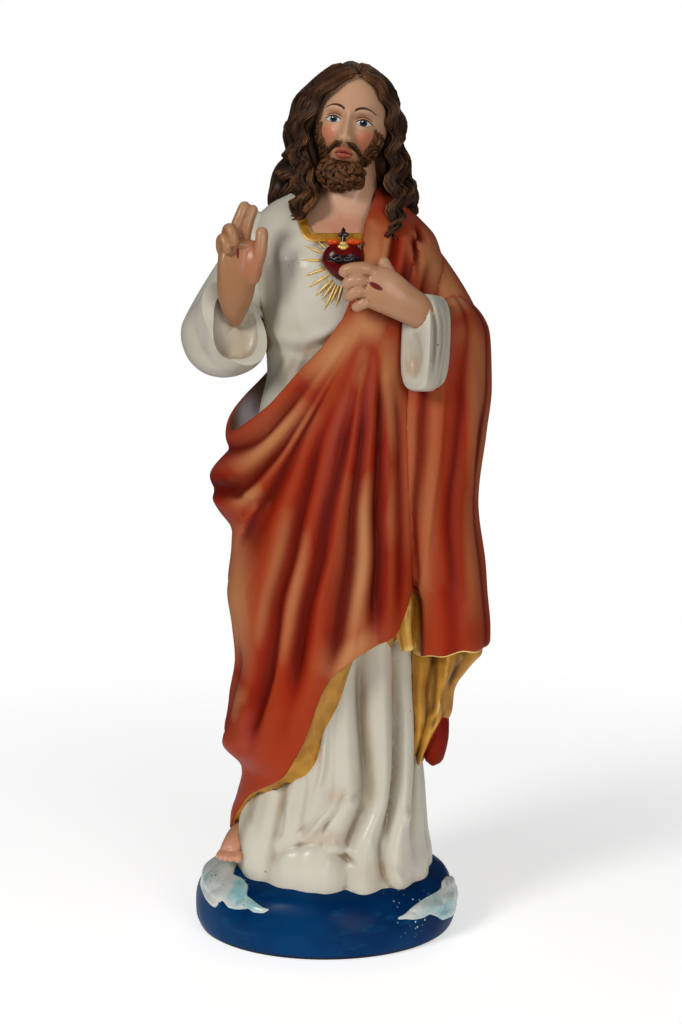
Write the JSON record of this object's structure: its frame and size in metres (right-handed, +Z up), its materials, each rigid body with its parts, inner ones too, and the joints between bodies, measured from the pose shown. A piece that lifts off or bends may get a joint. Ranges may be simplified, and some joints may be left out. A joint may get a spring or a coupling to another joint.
{
  "type": "sacred heart statue",
  "caption": "Painted cast statuette of a robed, bearded figure with one raised hand and the other at a flaming heart, on a low round base.",
  "frame": {"origin": "middle of the base's flat underside", "axes": "+Z up, the figure looks along -Y, +X is to the viewer's right when facing it"},
  "size_m": [0.1056, 0.0836, 0.2995],
  "materials": {
    "painted_cast": "hand-painted cast resin, semi-gloss varnish"
  },
  "bodies": {
    "root": {"statue": "painted_cast"}
  },
  "joints": []
}
